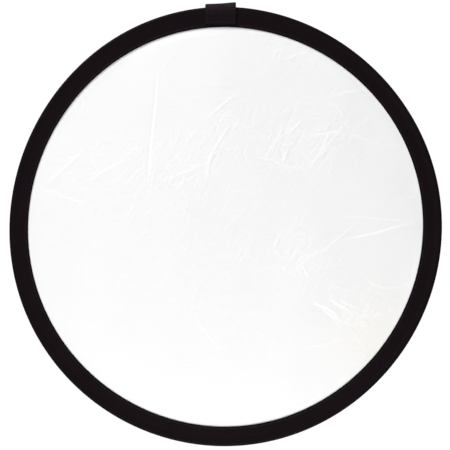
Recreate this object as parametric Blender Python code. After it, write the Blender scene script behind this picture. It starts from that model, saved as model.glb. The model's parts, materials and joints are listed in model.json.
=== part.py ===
"""Round collapsible backdrop panel: two cloths on a twist-fold spring-steel hoop.

The panel stands upright in the XZ plane with its white face towards -Y. The origin is
where a clip grips the strap tab, straight above the middle of the panel. The hoop bends
at vertical fold lines, so every flexible piece is cut there and the strips between the
lines are the bodies that move: one in the middle and three more out to each side.
"""

import math

import bmesh
import bpy

# Hoop outline, in metres. The sprung band is a little out of round, so its radius has a
# few low waves: how many crests, how high they are, and the angle of the first crest,
# measured from the top towards +X.
HOOP_RADIUS = 0.28
HOOP_WAVES = ((2, 0.00225, 6.0), (3, 0.0008, -16.0), (4, 0.0006, -13.0))

# Spring-steel band inside the hem.
BAND_WIDTH = 0.0045
BAND_THICKNESS = 0.0009
BAND_END_GAP = 0.0006

# Sleeve crimped over the band's two ends, and the tube that keeps it from chafing.
SLEEVE_LENGTH = 0.02
SLEEVE_WALL = 0.0004
SLEEVE_SEAM = 0.0005
CHAFE_LENGTH = 0.026
CHAFE_WALL = 0.0003

# Binding tape, folded over the band and over the edges of both cloths.
HEM_WIDTH = 0.0252
TAPE_THICKNESS = 0.0007
TAPER_RUN = 0.0055
SWELL_RUN = 0.004

# Cloths and stitching.
CLOTH_THICKNESS = 0.00045
THREAD_DIAMETER = 0.0005
SEAM_INSET = 0.003

# Strap tab, folded over the hem where the band's ends meet.
TAB_WIDTH = 0.0395
TAB_SHIFT = -0.0059
TAB_THICKNESS = 0.0012
TAB_RISE = 0.0016
TAB_SLOPE = math.radians(3.6)
TAB_END_INSET = 0.0028
TAB_STITCH_INSET = 0.0025
TAB_TO_FOLD = 0.0024
GRIP_DEPTH = 0.0165

# Folding: each fold line bends this far, and the panel curls to this radius.
FOLD_ANGLE = math.radians(30)
BEND_RADIUS = 0.093
FOLDS_PER_SIDE = 3

# Clearance between pieces that touch, the facets' lengths along the hoop and round it.
FIT = 0.0003
SEGMENT = 0.016
SWELL_SEGMENT = 0.0025
ARC_STEPS = 3
THREAD_SIDES = 4

# What follows from the sizes above.
SLEEVE_HALF_WIDTH = BAND_WIDTH / 2 + FIT + SLEEVE_WALL
SLEEVE_HALF_DEPTH = BAND_THICKNESS / 2 + FIT + SLEEVE_WALL
CHAFE_HALF_WIDTH = SLEEVE_HALF_WIDTH + FIT + CHAFE_WALL
CHAFE_HALF_DEPTH = SLEEVE_HALF_DEPTH + FIT + CHAFE_WALL
NOSE_RADIUS = math.hypot(BAND_WIDTH, BAND_THICKNESS) / 2 + FIT + TAPE_THICKNESS
SWELL = math.hypot(CHAFE_HALF_WIDTH, CHAFE_HALF_DEPTH) + FIT + TAPE_THICKNESS - NOSE_RADIUS
SWELL_FULL = CHAFE_LENGTH / 2 + SWELL_SEGMENT
BAND_DEPTH = NOSE_RADIUS
CLOTH_INNER = FIT / 2
CLOTH_OUTER = CLOTH_INNER + CLOTH_THICKNESS
LEG_INNER = CLOTH_OUTER + FIT
LEG_OUTER = LEG_INNER + TAPE_THICKNESS
TAPER_START = BAND_DEPTH + CHAFE_HALF_DEPTH + FIT
LEG_START = TAPER_START + TAPER_RUN
CLOTH_DEPTH = LEG_START + 2 * FIT
TAB_HALF = TAB_WIDTH / 2
TAB_INNER = LEG_OUTER + 2 * FIT + THREAD_DIAMETER
TAB_OUTER = TAB_INNER + TAB_THICKNESS
CENTRE_HALF = abs(TAB_SHIFT) + max(TAB_HALF, SWELL_FULL + SWELL_RUN) + TAB_TO_FOLD
STRIP = BEND_RADIUS * FOLD_ANGLE


def hoop_radius(angle):
    """Distance from the panel's middle to the hem's outer edge."""
    waves = (height * math.cos(count * (angle - math.radians(crest)))
             for count, height, crest in HOOP_WAVES)
    return HOOP_RADIUS + sum(waves)


PANEL_MIDDLE = (0.0, 0.0, GRIP_DEPTH - hoop_radius(0.0))


def swell(x):
    """How much the hem's top stands out over the joint sleeve: none of it past the tube."""
    past = abs(x - TAB_SHIFT) - SWELL_FULL
    share = min(max(1 - past / SWELL_RUN, 0.0), 1.0)
    return SWELL * share * share * (3 - 2 * share)


def fold_gap(half_thickness):
    """Clear width that a piece needs at a fold line so that its cut ends never meet."""
    return 2 * half_thickness * math.tan(FOLD_ANGLE / 2) + FIT


def crossing(x, depth, turn):
    """Angle where the line that lies depth inside the hem's edge crosses the plane at x.

    turn is 0 above the middle, and 1 or -1 below it, reached round the +X or the -X side.
    """
    angle = turn * math.pi
    for _ in range(12):
        above = math.asin(x / (hoop_radius(angle) - depth))
        angle = above if turn == 0 else turn * math.pi - above
    return angle


def material(name, colour, roughness, metallic=0.0):
    made = bpy.data.materials.new(name)
    made.use_nodes = True
    shader = made.node_tree.nodes["Principled BSDF"]
    shader.inputs["Base Color"].default_value = (*colour, 1.0)
    shader.inputs["Roughness"].default_value = roughness
    shader.inputs["Metallic"].default_value = metallic
    return made


def body_empty(name, parent, x):
    """An empty on the fold line at x, which carries one strip of the panel."""
    empty = bpy.data.objects.new(name, None)
    bpy.context.collection.objects.link(empty)
    empty.parent = parent
    base = PANEL_MIDDLE if parent is None else (0.0, 0.0, 0.0)
    start = 0.0 if parent is None else parent["fold_x"]
    empty.location = (base[0] + x - start, base[1], base[2])
    empty["fold_x"] = x
    return empty


def add_piece(name, bm, body, finish):
    """Turn a mesh made about the panel's middle into an object that hangs on its body."""
    bmesh.ops.recalc_face_normals(bm, faces=bm.faces)
    for vertex in bm.verts:
        vertex.co.x -= body["fold_x"]
    mesh = bpy.data.meshes.new(name)
    bm.to_mesh(mesh)
    bm.free()
    mesh.shade_smooth()
    mesh.set_sharp_from_angle(angle=math.radians(35))
    mesh.materials.append(finish)
    piece = bpy.data.objects.new(name, mesh)
    bpy.context.collection.objects.link(piece)
    piece.parent = body
    return piece


def run_along_hoop(loops, start, end, segment=SEGMENT):
    """Sweep a section along the hoop between two cut planes.

    loops(x) gives the section there: one loop of (depth, y) points, or an outer and an
    inner one. start and end are each (x of the cut, turn), as crossing() takes them.
    """
    shape = loops(start[0])
    middle = [crossing(x, HEM_WIDTH / 2, turn) for x, turn in (start, end)]
    steps = max(2, math.ceil(abs(middle[1] - middle[0]) * HOOP_RADIUS / segment))
    bm = bmesh.new()
    rings = []
    for station in range(steps + 1):
        share = station / steps
        ring = []
        for number, loop in enumerate(shape):
            row = []
            for place, (depth, y) in enumerate(loop):
                first = crossing(start[0], depth, start[1])
                last = crossing(end[0], depth, end[1])
                angle = first + (last - first) * share
                x = (hoop_radius(angle) - depth) * math.sin(angle)
                depth, y = loops(x)[number][place]
                radius = hoop_radius(angle) - depth
                row.append(bm.verts.new((radius * math.sin(angle), y, radius * math.cos(angle))))
            ring.append(row)
        rings.append(ring)
    for near, far in zip(rings, rings[1:]):
        for low, high in zip(near, far):
            for i in range(len(low)):
                j = (i + 1) % len(low)
                bm.faces.new((low[i], low[j], high[j], high[i]))
    for ring in (rings[0], rings[-1]):
        if len(ring) == 1:
            bm.faces.new(ring[0])
            continue
        outer, inner = ring
        for i in range(len(outer)):
            j = (i + 1) % len(outer)
            bm.faces.new((outer[i], outer[j], inner[j], inner[i]))
    return bm


def arc(centre, radius, first, last, steps):
    """Points (depth, y) on an arc whose angles run from the hem's outer edge."""
    turns = [first + (last - first) * i / steps for i in range(steps + 1)]
    return [(centre - radius * math.cos(turn), radius * math.sin(turn)) for turn in turns]


def hem_section(x, more=0.0):
    """Tape folded in two: a round nose over the band, and two legs that grip the cloths."""
    nose = NOSE_RADIUS + more
    quarter = math.pi / 2
    outside = arc(BAND_DEPTH, nose, -quarter, quarter, 2 * ARC_STEPS)
    inside = arc(BAND_DEPTH, nose - TAPE_THICKNESS, quarter, -quarter, 2 * ARC_STEPS)
    outer_leg = [(TAPER_START, nose), (LEG_START, LEG_OUTER), (HEM_WIDTH, LEG_OUTER)]
    inner_leg = [(HEM_WIDTH, LEG_INNER), (LEG_START, LEG_INNER), (TAPER_START, nose - TAPE_THICKNESS)]
    far_inner = [(depth, -y) for depth, y in reversed(inner_leg)]
    far_outer = [(depth, -y) for depth, y in reversed(outer_leg)]
    return [outside + outer_leg + inner_leg + inside + far_inner + far_outer]


def swollen_hem_section(x):
    return hem_section(x, swell(x))


def rectangle(centre, half_depth, half_width):
    return [(centre - half_depth, -half_width), (centre - half_depth, half_width),
            (centre + half_depth, half_width), (centre + half_depth, -half_width)]


def band_section(x):
    return [rectangle(BAND_DEPTH, BAND_THICKNESS / 2, BAND_WIDTH / 2)]


def thread_section(depth, y):
    """A round thread that runs along the hoop at one depth."""
    radius = THREAD_DIAMETER / 2
    turns = [2 * math.pi * i / THREAD_SIDES for i in range(THREAD_SIDES)]
    loop = [(depth + radius * math.cos(t), y + radius * math.sin(t)) for t in turns]
    return lambda x: [loop]


def sleeve_section(x):
    """A rectangular sleeve rolled from sheet, with its open seam towards the cloth."""
    centre = BAND_DEPTH
    outer_d, outer_w = SLEEVE_HALF_DEPTH, SLEEVE_HALF_WIDTH
    inner_d, inner_w = outer_d - SLEEVE_WALL, outer_w - SLEEVE_WALL
    seam = SLEEVE_SEAM / 2
    outside = [(centre + outer_d, seam), (centre + outer_d, outer_w), (centre - outer_d, outer_w),
               (centre - outer_d, -outer_w), (centre + outer_d, -outer_w), (centre + outer_d, -seam)]
    inside = [(centre + inner_d, -seam), (centre + inner_d, -inner_w), (centre - inner_d, -inner_w),
              (centre - inner_d, inner_w), (centre + inner_d, inner_w), (centre + inner_d, seam)]
    return [outside + inside]


def chafe_section(x):
    """A soft tube pulled over the sleeve, flat on its faces with cut corners."""
    centre = BAND_DEPTH
    loops = []
    for inset in (0.0, CHAFE_WALL):
        half_d = CHAFE_HALF_DEPTH - inset
        half_w = CHAFE_HALF_WIDTH - inset
        corner = FIT
        loops.append([(centre - half_d + corner, -half_w), (centre - half_d, -half_w + corner),
                      (centre - half_d, half_w - corner), (centre - half_d + corner, half_w),
                      (centre + half_d - corner, half_w), (centre + half_d, half_w - corner),
                      (centre + half_d, -half_w + corner), (centre + half_d - corner, -half_w)])
    return loops


def cloth_plate(start, end, inner_y, outer_y):
    """One cloth between two fold lines, or from a fold line out to the hem."""
    gap = fold_gap(CLOTH_OUTER) / 2
    if end is None:
        side = math.copysign(1, start)
        cut = start + side * gap
        spans = [((cut, 0), (cut, side))]
    else:
        low, high = start + gap, end - gap
        spans = [((low, 0), (high, 0)), ((high, 1), (low, 1))]
    outline = []
    for (first_x, first_turn), (last_x, last_turn) in spans:
        first = crossing(first_x, CLOTH_DEPTH, first_turn)
        last = crossing(last_x, CLOTH_DEPTH, last_turn)
        steps = max(2, math.ceil(abs(last - first) * HOOP_RADIUS / SEGMENT))
        for i in range(steps + 1):
            angle = first + (last - first) * i / steps
            radius = hoop_radius(angle) - CLOTH_DEPTH
            outline.append((radius * math.sin(angle), radius * math.cos(angle)))
    bm = bmesh.new()
    near = [bm.verts.new((x, inner_y, z)) for x, z in outline]
    far = [bm.verts.new((x, outer_y, z)) for x, z in outline]
    bm.faces.new(near)
    bm.faces.new(far)
    for i in range(len(outline)):
        j = (i + 1) % len(outline)
        bm.faces.new((near[i], near[j], far[j], far[i]))
    return bm


def tab_seat():
    """Height of the hem's edge over the panel's middle, and how far it drops across the tab."""
    top = hoop_radius(0.0)
    ends = (TAB_SHIFT - TAB_HALF, TAB_SHIFT + TAB_HALF)
    heights = [math.sqrt(hoop_radius(crossing(x, 0.0, 0)) ** 2 - x * x) for x in ends]
    return top, top - min(heights)


def tab_strap():
    """The strap: a straight length of webbing folded over the hem, its top on a slope."""
    widest = NOSE_RADIUS + SWELL + FIT
    top, drop = tab_seat()
    below_nose = top - TAPER_START - drop
    flat_from = top - LEG_START - drop
    bottom = top - HEM_WIDTH + TAB_END_INSET
    quarter = math.pi / 2
    bm = bmesh.new()
    rings = []
    for x in (TAB_SHIFT - TAB_HALF, TAB_SHIFT, TAB_SHIFT + TAB_HALF):
        rise = TAB_RISE + (x - TAB_SHIFT) * math.tan(TAB_SLOPE)
        centre = top - BAND_DEPTH + rise
        section = []
        for side, grow in ((1, TAB_THICKNESS), (-1, 0.0)):
            crown = [(side * (widest + grow) * math.sin(turn), (widest + grow) * math.cos(turn))
                     for turn in (quarter * i / ARC_STEPS for i in range(-ARC_STEPS, ARC_STEPS + 1))]
            leg = [(side * (widest + grow), below_nose), (side * (TAB_INNER + grow), flat_from),
                   (side * (TAB_INNER + grow), bottom)]
            mirrored = [(-y, z) for y, z in leg]
            section += [*reversed(mirrored), *((y, z + centre) for y, z in crown), *leg]
        rings.append([bm.verts.new((x, y, z)) for y, z in section])
    for near, far in zip(rings, rings[1:]):
        for i in range(len(near)):
            j = (i + 1) % len(near)
            bm.faces.new((near[i], near[j], far[j], far[i]))
    bm.faces.new(rings[0])
    bm.faces.new(rings[-1])
    return bm


def tab_stitching():
    """The thread that holds the tab: a box of stitches on its front leg's flat part."""
    top, drop = tab_seat()
    half = TAB_HALF - TAB_STITCH_INSET
    high = top - LEG_START - drop - TAB_STITCH_INSET / 2
    low = top - HEM_WIDTH + TAB_END_INSET + TAB_STITCH_INSET
    y = -(TAB_OUTER + FIT + THREAD_DIAMETER / 2)
    corners = ((-half, low), (half, low), (half, high), (-half, high))
    radius = THREAD_DIAMETER / 2
    bm = bmesh.new()
    rings = []
    for x, z in corners:
        outward = (math.copysign(1, x), math.copysign(1, z - (low + high) / 2))
        ring = []
        for i in range(THREAD_SIDES):
            turn = 2 * math.pi * i / THREAD_SIDES
            out = radius * math.cos(turn)
            spot = (TAB_SHIFT + x + out * outward[0], y + radius * math.sin(turn), z + out * outward[1])
            ring.append(bm.verts.new(spot))
        rings.append(ring)
    for near, far in zip(rings, rings[1:] + rings[:1]):
        for i in range(THREAD_SIDES):
            j = (i + 1) % THREAD_SIDES
            bm.faces.new((near[i], near[j], far[j], far[i]))
    return bm


def clear_scene():
    for found in list(bpy.data.objects):
        bpy.data.objects.remove(found, do_unlink=True)


def strip_spans():
    """Each body's name with the fold lines at its two sides; None is the hem's side."""
    lines = [CENTRE_HALF + STRIP * i for i in range(FOLDS_PER_SIDE)]
    spans = [("centre", -lines[0], lines[0])]
    for i, line in enumerate(lines):
        beyond = lines[i + 1] if i + 1 < FOLDS_PER_SIDE else None
        spans.append((f"right_{i + 1}", line, beyond))
        spans.append((f"left_{i + 1}", -line, None if beyond is None else -beyond))
    return spans


def hoop_runs(start, end, half_thickness):
    """Where a hem, band or thread runs in one strip, as pairs of cuts with their names."""
    gap = fold_gap(half_thickness) / 2
    if end is None:
        side = math.copysign(1, start)
        cut = start + side * gap
        return [("side", (cut, 0), (cut, side))]
    low, high = min(start, end) + gap, max(start, end) - gap
    return [("top", (low, 0), (high, 0)), ("bottom", (low, 1), (high, 1))]


def build():
    clear_scene()
    white = material("white_taffeta", (0.88, 0.89, 0.91), 0.5)
    silver = material("silver_lame", (0.66, 0.67, 0.69), 0.35, 0.7)
    tape = material("black_binding", (0.012, 0.008, 0.011), 0.7)
    webbing = material("black_webbing", (0.016, 0.012, 0.015), 0.6)
    steel = material("spring_steel", (0.42, 0.43, 0.45), 0.35, 1.0)
    zinc = material("plated_sleeve", (0.6, 0.61, 0.6), 0.4, 1.0)
    rubber = material("chafe_tube", (0.02, 0.02, 0.02), 0.8)
    thread = material("black_thread", (0.02, 0.016, 0.018), 0.75)

    bodies = {}
    for name, start, end in strip_spans():
        inner = name.replace(name[-1], str(int(name[-1]) - 1)) if name != "centre" else None
        parent = None if inner is None else bodies.get(inner, bodies.get("centre"))
        bodies[name] = body_empty(f"body_{name}", parent, 0.0 if inner is None else start)

    for name, start, end in strip_spans():
        body = bodies[name]
        for place, first, last in hoop_runs(start, end, NOSE_RADIUS):
            if (place, name) == ("top", "centre"):
                hem = run_along_hoop(swollen_hem_section, first, last, SWELL_SEGMENT)
            else:
                hem = run_along_hoop(hem_section, first, last)
            add_piece(f"hem_{place}_{name}", hem, body, tape)
            seam = HEM_WIDTH - SEAM_INSET
            stitched = thread_section(seam, -(LEG_OUTER + FIT + THREAD_DIAMETER / 2))
            add_piece(f"hem_thread_{place}_{name}", run_along_hoop(stitched, first, last), body, thread)
        for place, first, last in hoop_runs(start, end, BAND_WIDTH / 2):
            if (place, name) == ("top", "centre"):
                left_end = (TAB_SHIFT - BAND_END_GAP / 2, 0)
                right_end = (TAB_SHIFT + BAND_END_GAP / 2, 0)
                add_piece("band_end_left", run_along_hoop(band_section, first, left_end), body, steel)
                add_piece("band_end_right", run_along_hoop(band_section, right_end, last), body, steel)
                continue
            add_piece(f"band_{place}_{name}", run_along_hoop(band_section, first, last), body, steel)
        face = cloth_plate(*sorted((start, end)) if end is not None else (start, end),
                           -CLOTH_INNER, -CLOTH_OUTER)
        add_piece(f"face_cloth_{name}", face, body, white)
        reverse = cloth_plate(*sorted((start, end)) if end is not None else (start, end),
                              CLOTH_INNER, CLOTH_OUTER)
        add_piece(f"reverse_cloth_{name}", reverse, body, silver)

    centre = bodies["centre"]
    for name, length, section, finish in (
            ("joint_sleeve", SLEEVE_LENGTH, sleeve_section, zinc),
            ("chafe_tube", CHAFE_LENGTH, chafe_section, rubber)):
        first, last = (TAB_SHIFT - length / 2, 0), (TAB_SHIFT + length / 2, 0)
        add_piece(name, run_along_hoop(section, first, last), centre, finish)
    add_piece("tab_strap", tab_strap(), centre, webbing)
    add_piece("tab_stitching", tab_stitching(), centre, thread)


build()
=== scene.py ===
import json
import math

import bmesh
import bpy
import numpy as np
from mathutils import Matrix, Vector


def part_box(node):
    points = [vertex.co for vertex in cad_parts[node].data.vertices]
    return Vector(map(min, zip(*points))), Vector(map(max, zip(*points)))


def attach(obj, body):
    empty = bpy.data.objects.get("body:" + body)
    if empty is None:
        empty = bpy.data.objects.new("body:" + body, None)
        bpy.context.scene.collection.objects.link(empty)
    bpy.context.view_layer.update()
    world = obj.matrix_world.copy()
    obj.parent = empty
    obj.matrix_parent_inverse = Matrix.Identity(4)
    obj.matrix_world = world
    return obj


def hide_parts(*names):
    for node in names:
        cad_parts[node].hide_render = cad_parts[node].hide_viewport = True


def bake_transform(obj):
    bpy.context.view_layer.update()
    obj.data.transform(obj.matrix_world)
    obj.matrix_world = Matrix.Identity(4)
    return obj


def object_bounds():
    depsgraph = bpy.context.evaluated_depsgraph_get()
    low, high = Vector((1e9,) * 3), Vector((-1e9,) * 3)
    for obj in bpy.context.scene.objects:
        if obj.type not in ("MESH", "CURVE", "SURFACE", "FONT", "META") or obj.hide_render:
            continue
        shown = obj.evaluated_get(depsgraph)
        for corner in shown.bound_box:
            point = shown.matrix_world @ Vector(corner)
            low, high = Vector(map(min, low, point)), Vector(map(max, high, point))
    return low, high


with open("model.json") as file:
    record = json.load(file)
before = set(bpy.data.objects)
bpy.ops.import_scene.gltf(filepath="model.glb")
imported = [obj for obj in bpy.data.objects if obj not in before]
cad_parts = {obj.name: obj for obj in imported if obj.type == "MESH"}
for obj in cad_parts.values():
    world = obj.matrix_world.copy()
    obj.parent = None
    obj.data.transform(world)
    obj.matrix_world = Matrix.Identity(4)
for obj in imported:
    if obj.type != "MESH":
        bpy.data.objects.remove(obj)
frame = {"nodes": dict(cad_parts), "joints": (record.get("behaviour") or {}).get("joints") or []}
cad_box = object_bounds()


# ---------------------------------------------------------------------------
# The hoop: one strip of spring steel, its two ends crimped in a plated sleeve,
# with a soft tube over the sleeve so that it can't chafe through the hem. All of
# it is hidden in the hem. The steel is blued, with rolling lines along the strip.
# ---------------------------------------------------------------------------
class Value:
    """A shader socket that adds Math nodes when Python operators are used on it."""

    def __init__(self, finish, socket):
        self.finish = finish
        self.socket = socket

    def maths(self, operation, *others, clamp=False):
        inputs = {0: self, **{i + 1: other for i, other in enumerate(others)}}
        return self.finish.node("ShaderNodeMath", {"operation": operation, "use_clamp": clamp}, inputs)

    def __add__(self, other):
        return self.maths("ADD", other)

    def __sub__(self, other):
        return self.maths("SUBTRACT", other)

    def __mul__(self, other):
        return self.maths("MULTIPLY", other)

    def __rsub__(self, other):
        return self.finish.node("ShaderNodeMath", {"operation": "SUBTRACT"}, {0: other, 1: self})

    __radd__ = __add__
    __rmul__ = __mul__


class Finish:
    """A node material whose constants are set on its Principled BSDF."""

    def __init__(self, name, **constants):
        self.material = bpy.data.materials.new(name)
        self.material.use_nodes = True
        self.tree = self.material.node_tree
        self.shader = self.tree.nodes["Principled BSDF"]
        for socket, value in constants.items():
            self.shader.inputs[socket.replace("_", " ")].default_value = value

    def node(self, kind, settings=None, inputs=None, output=0):
        made = self.tree.nodes.new(kind)
        for setting, value in (settings or {}).items():
            setattr(made, setting, value)
        for socket, value in (inputs or {}).items():
            if isinstance(value, Value):
                self.tree.links.new(value.socket, made.inputs[socket])
            else:
                made.inputs[socket].default_value = value
        return Value(self, made.outputs[output])

    def place(self):
        return self.node("ShaderNodeTexCoord", output="Object")

    def axis(self, place, letter):
        return self.node("ShaderNodeSeparateXYZ", {}, {0: place}, output=letter)

    def noise(self, place, scale, detail=3.0, roughness=0.55, stretch=(1, 1, 1)):
        spread = self.node("ShaderNodeMapping", {}, {"Vector": place, "Scale": stretch})
        inputs = {"Vector": spread, "Scale": scale, "Detail": detail, "Roughness": roughness}
        return self.node("ShaderNodeTexNoise", {}, inputs, output="Fac")

    def between(self, share, low, high):
        """A colour that runs from low to high as share runs from 0 to 1."""
        ends = [end if isinstance(end, Value) else (*end, 1) for end in (low, high)]
        inputs = {"Factor": share, 6: ends[0], 7: ends[1]}
        return self.node("ShaderNodeMix", {"data_type": "RGBA"}, inputs, output=2)

    def attribute(self, name):
        return self.node("ShaderNodeAttribute", {"attribute_name": name}, output="Fac")

    def wave(self, along, pitch, offset=0.0):
        """A sine of 0 to 1 that repeats once every pitch along a coordinate."""
        turned = along * (2 * math.pi / pitch) + offset
        return turned.maths("SINE") * 0.5 + 0.5

    def drive(self, socket, value):
        self.tree.links.new(value.socket, self.shader.inputs[socket])

    def bump(self, height, distance):
        inputs = {"Height": height, "Distance": distance, "Strength": 1.0}
        self.drive("Normal", self.node("ShaderNodeBump", {}, inputs))


def dress(node, finish):
    """Give a piece that keeps its plain shape its finish."""
    shown = frame["nodes"][node]
    shown.data.materials.clear()
    shown.data.materials.append(finish.material)


HOOP_RADIUS = 0.28
# How the hoop is out of round: crests in a turn, their height, and where one stands in degrees.
HOOP_WAVES = ((2, 0.00225, 6.0), (3, 0.0008, -16.0), (4, 0.0006, -13.0))
folds = {joint["name"]: joint["pos_m"] for joint in frame["joints"]}
MIDDLE_Z = folds["fold_right_inner"][2]
SIDES = (("right", 1), ("left", -1))
STAGES = ("inner", "middle", "outer")
# How far each side of its fold line a piece's bend would reach; no piece is bent by it.
FOLD_BLENDS = {"inner": 0.014, "middle": 0.015, "outer": 0.015}


def round_waves(angle, waves):
    """Sum of waves round the hoop, each as (crests, height, degrees of one crest)."""
    return sum(height * np.cos(count * (angle - math.radians(crest))) for count, height, crest in waves)


def hoop_radius(angle):
    """Distance from the panel's middle to the hem's outer edge; angle is from the top."""
    return HOOP_RADIUS + round_waves(angle, HOOP_WAVES)


def fold_spans():
    """For each fold line: its name, side, bodies, place and the two ends of its panel."""
    found = []
    for side, sign in SIDES:
        lines = [folds[f"fold_{side}_{stage}"][0] for stage in STAGES]
        for i, line in enumerate(lines):
            start = 0.0 if i == 0 else (lines[i - 1] + line) / 2
            end = None if i == 2 else (line + lines[i + 1]) / 2
            bodies = ("centre" if i == 0 else f"{side}_{i}", f"{side}_{i + 1}")
            found.append((f"{side}_{STAGES[i]}", sign, bodies, line, start, end))
    return found


FOLD_SPANS = fold_spans()
CENTRE_SPAN = "right_inner"


def bend(piece, span):
    """Bake a finished piece's place into its mesh; the ends of its fold's blend are worked out but not
    used, so the piece doesn't bend.
    """
    name, sign, (near, far), line, _, _ = span
    reach = sign * FOLD_BLENDS[name.split("_")[1]]
    start = (line - reach, 0.0, MIDDLE_Z)
    end = (line + reach, 0.0, MIDDLE_Z)
    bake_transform(piece)


def add_layers(mesh, layers):
    """Store one value per vertex under each layer's name."""
    for layer, values in layers.items():
        stored = mesh.attributes.new(layer, "FLOAT", "POINT")
        stored.data.foreach_set("value", values.ravel().astype(np.float32))


def mesh_of(name, points, faces, normals, finish, layers):
    """A smooth mesh with its own vertex normals, and a value per vertex for each layer."""
    mesh = bpy.data.meshes.new(name)
    mesh.from_pydata(points.tolist(), [], faces)
    mesh.polygons.foreach_set("use_smooth", [True] * len(mesh.polygons))
    add_layers(mesh, layers)
    mesh.update()
    mesh.normals_split_custom_set_from_vertices(normals.tolist())
    mesh.materials.append(finish.material)
    piece = bpy.data.objects.new(name, mesh)
    bpy.context.collection.objects.link(piece)
    return piece


def grid_faces(rows, columns, around=False, flip=False):
    """Quads over a grid of points; around closes each row on itself."""
    reach = columns if around else columns - 1
    row = np.arange(rows - 1)[:, None]
    column = np.arange(reach)[None, :]
    after = (column + 1) % columns
    corners = [row * columns + column, row * columns + after,
               (row + 1) * columns + after, (row + 1) * columns + column]
    quads = np.stack([np.broadcast_to(corner, (rows - 1, reach)) for corner in corners], -1)
    quads = quads.reshape(-1, 4)
    return (quads[:, ::-1] if flip else quads).tolist()


def smooth_step(value, low, high):
    """0 below low, 1 above high, and an even S between."""
    share = np.clip((value - low) / (high - low), 0, 1)
    return share * share * (3 - 2 * share)


SETTLING_ROUNDS = 12
LEAST_STATIONS = 8


def crossing(x, depth, turn):
    """Angle where the line at this depth crosses the plane at x.

    turn is 0 for the top of the hoop, and 1 or -1 for the bottom reached by the right or left.
    """
    angle = turn * math.pi
    for _ in range(SETTLING_ROUNDS):
        above = math.asin(x / (hoop_radius(angle) - depth))
        angle = above if turn == 0 else turn * math.pi - above
    return angle


def span_runs(span):
    """The stretches of hoop in a span, each as two cuts of (x, turn)."""
    _, sign, _, _, start, end = span
    if end is None:
        return [((start, 0), (start, sign))]
    return [((start, 0), (end, 0)), ((start, sign), (end, sign))]


def span_nodes(span, piece):
    """The plain nodes of a piece that a span stands for, by the strip past its fold line."""
    name, _, (_, far), _, _, end = span
    if end is None:
        return [f"{piece}_side_{far}"]
    nodes = [f"{piece}_top_{far}", f"{piece}_bottom_{far}"]
    if name == CENTRE_SPAN:
        nodes += [f"{piece}_top_centre", f"{piece}_bottom_centre"]
    return nodes


def run_angles(first, last, depths, step, beyond=0):
    """Angles at which a run is cut into stations, for each depth; beyond adds some at each end."""
    begin, until = (np.array([crossing(x, depth, turn) for depth in depths]) for x, turn in (first, last))
    count = max(LEAST_STATIONS, round(abs(until[0] - begin[0]) * HOOP_RADIUS / step))
    shares = np.arange(-beyond, count + 1 + beyond) / count
    return begin[None, :] + (until - begin)[None, :] * shares[:, None]


def skin_along_hoop(name, runs, depths, spots_at, finish, step):
    """A closed skin over stretches of the hoop; spots_at gives the loop of points at each angle."""
    points, normals, faces, alongs, inwards = [], [], [], [], []
    offset = 0
    for first, last in runs:
        angles = run_angles(first, last, depths, step, beyond=1)
        spots = spots_at(angles)
        around = np.concatenate([spots[:, -1:], spots, spots[:, :1]], 1)
        normal = np.cross(np.gradient(spots, axis=0), np.gradient(around, axis=1)[:, 1:-1])[1:-1]
        normal /= np.linalg.norm(normal, axis=-1, keepdims=True) + 1e-12
        spots, angles = spots[1:-1], angles[1:-1]
        outward = np.stack([np.sin(angles[:, 0]), 0 * angles[:, 0], np.cos(angles[:, 0])], -1)
        turned = (normal[:, 0] * outward).sum() < 0
        normal = -normal if turned else normal
        rows, columns = spots.shape[:2]
        quads = grid_faces(rows, columns, around=True, flip=not turned)
        ends = [list(range(columns)), list(range((rows - 1) * columns, rows * columns))]
        ends = [ends[0][::-1], ends[1]] if turned else [ends[0], ends[1][::-1]]
        faces += [[corner + offset for corner in face] for face in quads + ends]
        points.append(spots.reshape(-1, 3))
        normals.append(normal.reshape(-1, 3))
        alongs.append((angles * HOOP_RADIUS).ravel())
        inwards.append(np.broadcast_to(np.array(depths)[None, :], angles.shape).ravel())
        offset += rows * columns
    layers = {"along": np.concatenate(alongs), "inward": np.concatenate(inwards)}
    return mesh_of(name, np.concatenate(points), faces, np.concatenate(normals), finish, layers)


STEEL_DARK = (0.20, 0.21, 0.235)
STEEL_BRIGHT = (0.46, 0.47, 0.49)
spring_steel = Finish("blued_spring_steel", Metallic=1.0)
place = spring_steel.place()
rolling = spring_steel.noise(place, 900, 4, 0.6, (0.08, 1, 0.08))
blotches = spring_steel.noise(place, 40, 2)
shade = rolling * 0.6 + blotches * 0.4
spring_steel.drive("Base Color", spring_steel.between(shade, STEEL_DARK, STEEL_BRIGHT))
spring_steel.drive("Roughness", 0.26 + rolling * 0.2)
spring_steel.bump(rolling, 0.00003)

BAND_WIDTH = 0.0045
BAND_THICKNESS = 0.0009
BAND_DEPTH = 0.003295
BAND_EDGE = 0.00015
BAND_END_GAP = 0.0006
BAND_STEP = 0.003
JOINT_X = sum(corner[0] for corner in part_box("joint_sleeve")) / 2


def band_loop():
    """The strip's section with eased edges, as points of (depth, y)."""
    thick, wide = BAND_THICKNESS / 2, BAND_WIDTH / 2
    corner = [(-thick, wide - BAND_EDGE), (BAND_EDGE - thick, wide)]
    half = corner + [(-depth, y) for depth, y in reversed(corner)]
    return [(BAND_DEPTH + depth, y) for depth, y in half + [(-depth, -y) for depth, y in half]]


def band_spots(angles):
    """Points of the strip's section at each angle."""
    depths, sideways = np.array(band_loop()).T
    radius = hoop_radius(angles) - depths[None, :]
    y = np.broadcast_to(sideways[None, :], angles.shape)
    return np.stack([radius * np.sin(angles), y, radius * np.cos(angles) + MIDDLE_Z], -1)


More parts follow.
